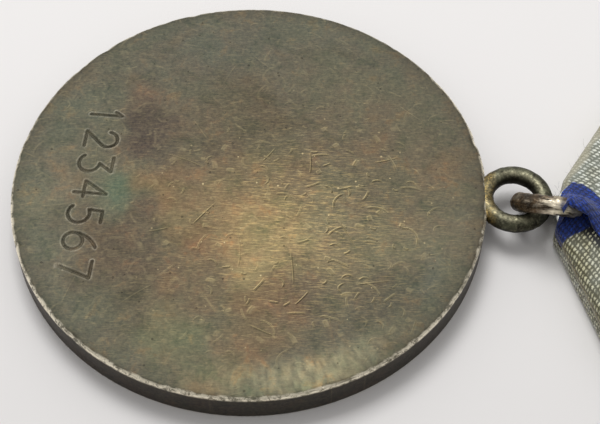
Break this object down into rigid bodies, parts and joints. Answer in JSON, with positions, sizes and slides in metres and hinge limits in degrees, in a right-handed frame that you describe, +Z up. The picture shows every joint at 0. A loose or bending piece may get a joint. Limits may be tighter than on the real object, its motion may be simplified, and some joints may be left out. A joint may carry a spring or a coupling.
{
  "type": "military service medal",
  "caption": "Round struck silver medal on an eyelet and link ring, under a ribbon-covered pentagonal block with a brooch pin on its back.",
  "frame": {"origin": "centre of the disc, on the plane that its raised rim rests on", "axes": "+X along the block, from the disc to the block's top edge; +Z up, from the medal's face to its back, as it lies face down"},
  "size_m": [0.0885, 0.037, 0.0066],
  "materials": {
    "aged_silver": "aged silver with olive-brown patina",
    "red_enamel": "fired enamel, gloss",
    "eyelet_silver": "aged silver, worn on top",
    "solder": "yellowish solder",
    "link_silver": "rough brown patina, bright where rubbed",
    "plate_aluminium": "dull, handled",
    "ribbon_silk": "ribbed silk moire, grey with blue edge stripes",
    "cover_aluminium": "dull, scratched",
    "pin_steel": "satin",
    "axle_steel": "satin",
    "needle_steel": "drawn wire, slightly tarnished",
    "catch_steel": "satin",
    "rivet_aluminium": "peened"
  },
  "bodies": {
    "block": {"block_plate": "plate_aluminium", "ribbon": "ribbon_silk", "cover_plate": "cover_aluminium", "hinge_bracket": "pin_steel", "hinge_axle": "axle_steel", "pin_catch": "catch_steel", "rivets": "rivet_aluminium"},
    "link": {"link_ring": "link_silver"},
    "medal": {"medal_disc": "aged_silver", "enamel_star": "red_enamel", "suspension_eyelet": "eyelet_silver", "eyelet_solder": "solder"},
    "needle": {"pin_needle": "needle_steel"}
  },
  "joints": [
    {"name": "link_fold", "type": "hinge", "parent": "block", "child": "link", "pos_m": [0.02402, 0.00182, 0.0021], "axis": [0, 0.8141, 0.5807], "range_deg": [-30, 35]},
    {"name": "medal_swing", "type": "hinge", "parent": "link", "child": "medal", "pos_m": [0.02057, 0.00205, 0.00207], "axis": [0, 0, 1], "range_deg": [-45, 35]},
    {"name": "pin_open", "type": "hinge", "parent": "block", "child": "needle", "pos_m": [0.0577, 0.01, 0.00535], "axis": [-1, 0, 0], "range_deg": [0, 100]}
  ]
}
